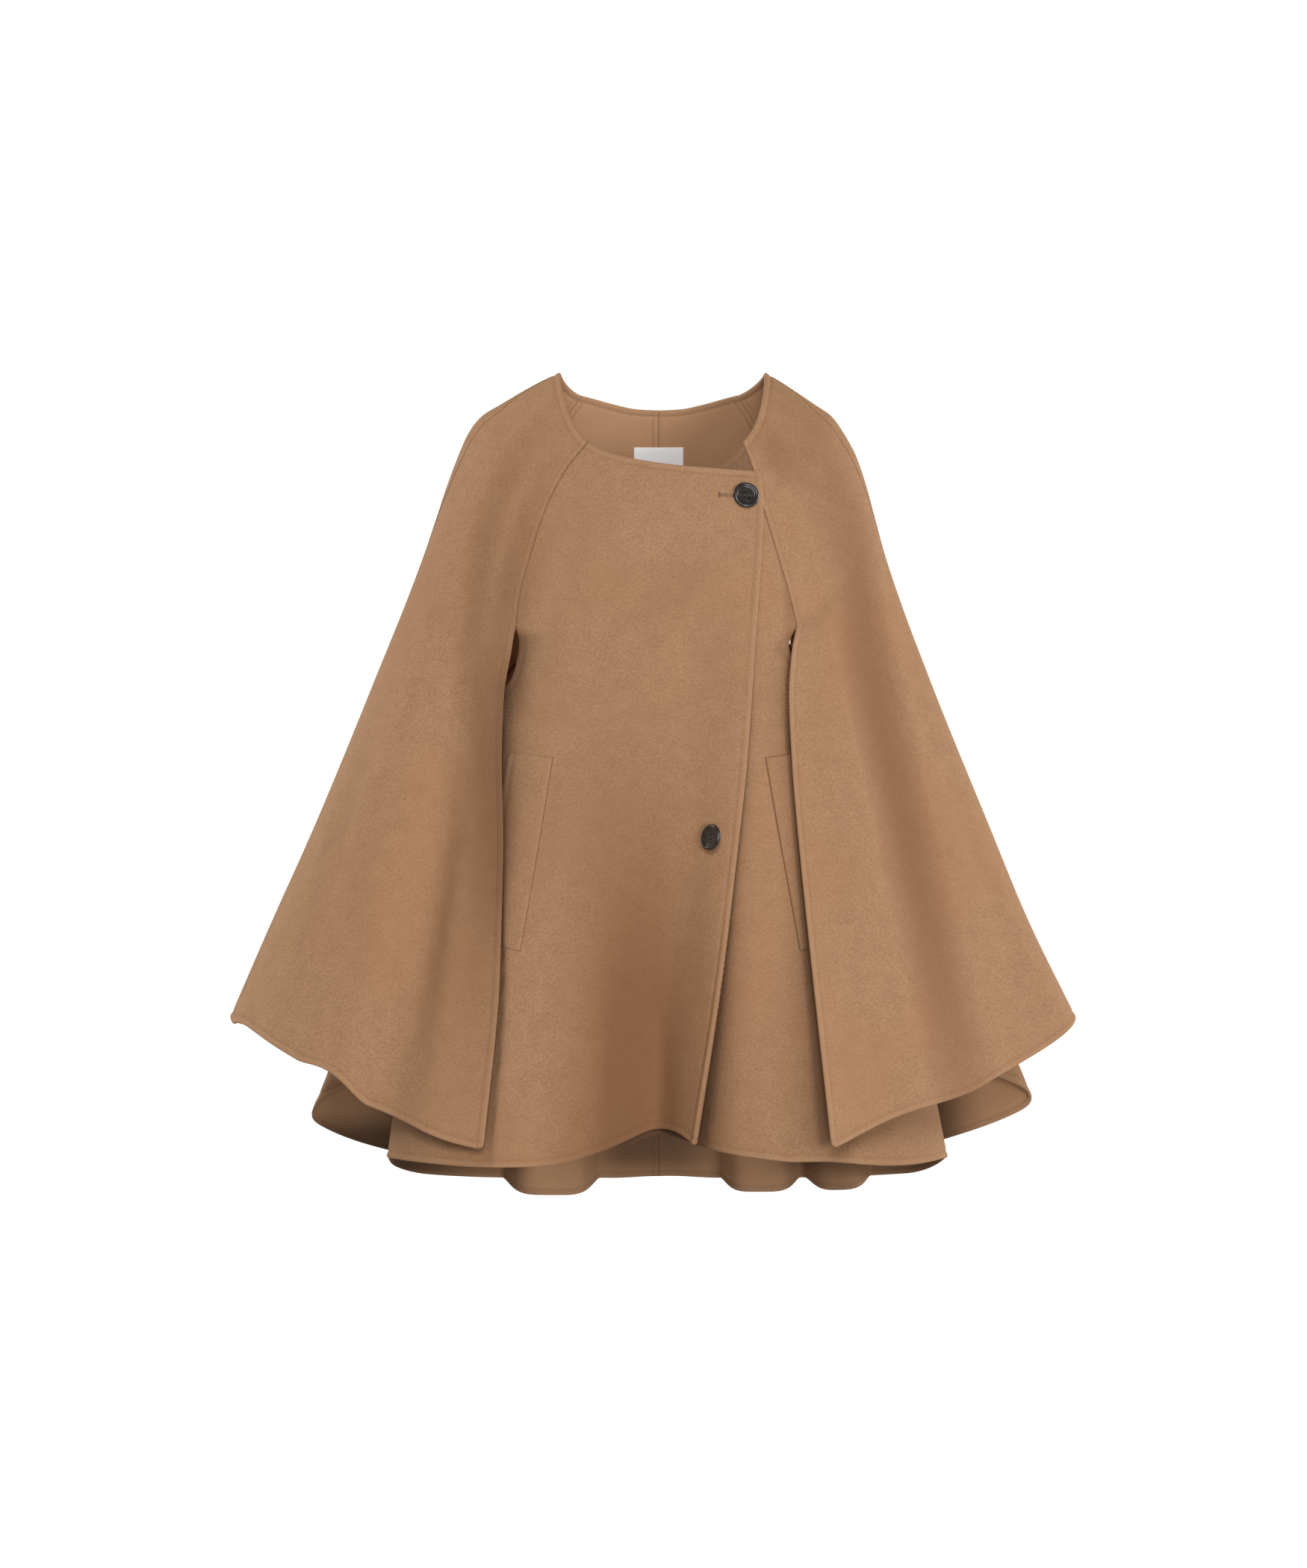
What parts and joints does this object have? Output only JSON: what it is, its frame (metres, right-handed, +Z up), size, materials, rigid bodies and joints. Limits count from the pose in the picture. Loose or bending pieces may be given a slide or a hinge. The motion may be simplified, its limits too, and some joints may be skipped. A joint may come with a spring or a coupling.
{
  "type": "wool cape",
  "caption": "Hollow collarless wool cape, filled out as worn: A-line body lapped off centre with dark buttons, welt pockets and open raglan cape sleeves.",
  "frame": {"origin": "midway between the two shoulder points of the neckline, where the wearer's shoulders carry the cape", "axes": "+Z up, -Y towards the front, +X towards the wearer's left, which is the viewer's right"},
  "size_m": [0.7947, 0.3429, 0.7823],
  "materials": {
    "wool": "matt brushed double-faced wool, camel",
    "horn": "polished dark horn look",
    "satin": "blank white woven label"
  },
  "bodies": {
    "root": {"front_right": "wool", "front_left": "wool", "back_right": "wool", "back_left": "wool", "sleeve_front_right": "wool", "sleeve_back_right": "wool", "sleeve_front_left": "wool", "sleeve_back_left": "wool", "welt_right": "wool", "welt_left": "wool", "button_top": "horn", "button_low": "horn", "label": "satin"}
  },
  "joints": []
}
